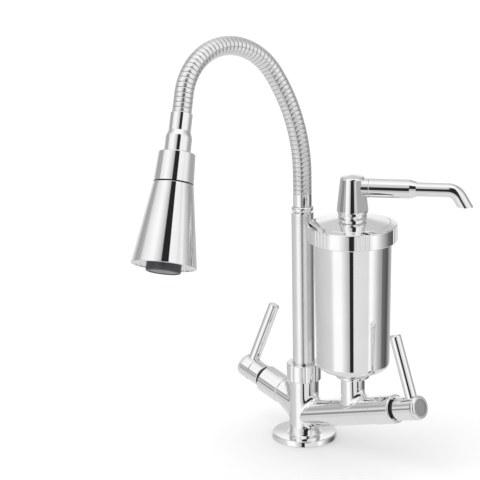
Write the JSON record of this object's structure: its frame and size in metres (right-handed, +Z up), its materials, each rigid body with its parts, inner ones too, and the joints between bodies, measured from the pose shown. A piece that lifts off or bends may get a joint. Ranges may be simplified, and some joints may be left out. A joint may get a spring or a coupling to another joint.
{
  "type": "filtered water kitchen tap",
  "caption": "Chrome deck tap with a ribbed flexible gooseneck, a conical spray head, lever valves on rising arms and an upright filter canister with its own swivel spout.",
  "frame": {"origin": "centre of the base flange's underside, on the worktop", "axes": "+Z up along the riser, +X towards the filter canister in plan, -Y to the front where the gooseneck reaches"},
  "size_m": [0.2142, 0.25, 0.3607],
  "materials": {
    "chrome_plate": "polished chrome plate on brass",
    "drawn_chrome": "chrome plate on drawn tube, softly polished",
    "chrome_plastic": "polished chrome plate on plastic",
    "collar_chrome": "polished chrome plate on plastic, the pivot left dark",
    "hose_metal": "chromed ribbed metal hose",
    "brass": "machined",
    "rubber": "moulded black rubber",
    "ceramic": "lapped ceramic",
    "nylon": "moulded nylon",
    "steel": "plain stainless steel",
    "grey_plastic": "matt grey plastic",
    "dark_plastic": "satin dark grey plastic",
    "tube_plastic": "extruded water tube",
    "filter_media": "pressed carbon block",
    "cap_plastic": "moulded white plastic"
  },
  "bodies": {
    "base": {"tap_body": "chrome_plate", "base_flange": "chrome_plate", "base_seal": "rubber", "valve_cartridges": "dark_plastic", "seat_seals": "rubber", "fixed_discs": "ceramic", "left_sleeve": "chrome_plate", "right_sleeve": "chrome_plate", "riser_nut": "chrome_plate", "slip_washer": "nylon", "filter_canister": "chrome_plate", "canister_seat": "chrome_plate", "canister_gasket": "rubber", "clamp_washer": "rubber", "clamp_nut": "brass", "filter_bottom_cap": "cap_plastic", "filter_block": "filter_media", "filter_top_cap": "cap_plastic", "nipple_o_ring": "rubber", "lid_gasket": "rubber"},
    "left_lever": {"left_moving_disc": "ceramic", "left_spindle": "steel", "left_spindle_o_ring": "rubber", "left_hub": "chrome_plate", "left_hub_badge": "grey_plastic", "left_hub_screw": "steel", "left_lever_rod": "chrome_plate"},
    "right_lever": {"right_moving_disc": "ceramic", "right_spindle": "steel", "right_spindle_o_ring": "rubber", "right_hub": "chrome_plate", "right_hub_badge": "grey_plastic", "right_hub_screw": "steel", "right_lever_rod": "chrome_plate"},
    "riser": {"riser_bush": "brass", "riser_o_rings": "rubber", "riser_tube": "drawn_chrome", "stop_ring": "brass", "riser_fitting": "chrome_plate", "hose_ferrule": "chrome_plate", "gooseneck_hose": "hose_metal", "water_tube": "tube_plastic"},
    "spray_head": {"top_ferrule": "chrome_plate", "head_connector": "chrome_plate", "head_collar": "collar_chrome", "pivot_o_ring": "rubber", "pivot_clip": "steel"},
    "twist_cone": {"spray_cone": "chrome_plastic", "spray_plate": "chrome_plastic", "aerator_housing": "dark_plastic", "aerator_face": "grey_plastic"},
    "filter_lid": {"canister_lid": "chrome_plate", "post_o_rings": "rubber", "turret_clip": "steel", "neck_ring": "chrome_plate"},
    "lid_ring": {"cap_ring": "chrome_plate", "snap_ring": "steel"},
    "filter_spout": {"spout_turret": "chrome_plate", "spout_sleeve": "chrome_plate", "spout_tube": "chrome_plate"}
  },
  "joints": [
    {"name": "left_lever_turn", "type": "hinge", "parent": "base", "child": "left_lever", "pos_m": [-0.02397, 0, 0.0364], "axis": [-0.9588, 0, 0.284], "range_deg": [-90, 0]},
    {"name": "right_lever_turn", "type": "hinge", "parent": "base", "child": "right_lever", "pos_m": [0.08342, 0, 0.04481], "axis": [0.9588, 0, 0.284], "range_deg": [0, 90]},
    {"name": "riser_swivel", "type": "hinge", "parent": "base", "child": "riser", "pos_m": [0, 0, 0.05], "axis": [0, 0, 1], "range_deg": [-150, 45]},
    {"name": "hose_flex", "type": "hinge", "parent": "riser", "child": "spray_head", "pos_m": [-0.02784, -0.06359, 0.35273], "axis": [0.9548, -0.1233, 0.2705], "range_deg": [-25, 20], "deforming": ["gooseneck_hose", "water_tube"]},
    {"name": "cone_twist", "type": "hinge", "parent": "spray_head", "child": "twist_cone", "pos_m": [-0.02194, -0.11885, 0.30664], "axis": [0.204, -0.3903, -0.8978], "range_deg": [0, 90]},
    {"name": "lid_lift", "type": "slide", "parent": "base", "child": "filter_lid", "axis": [0, 0, 1], "range_m": [0, 0.0075]},
    {"name": "ring_turn", "type": "hinge", "parent": "filter_lid", "child": "lid_ring", "pos_m": [0.05647, 0, 0.195], "axis": [0, 0, 1], "range_deg": [0, 900]},
    {"name": "filter_spout_swivel", "type": "hinge", "parent": "filter_lid", "child": "filter_spout", "pos_m": [0.05647, 0, 0.23], "axis": [0, 0, 1], "range_deg": [-45, 60]}
  ],
  "couplings": [
    {"joint": "lid_lift", "follows": "ring_turn", "m_per_rad": 0.00047746}
  ]
}
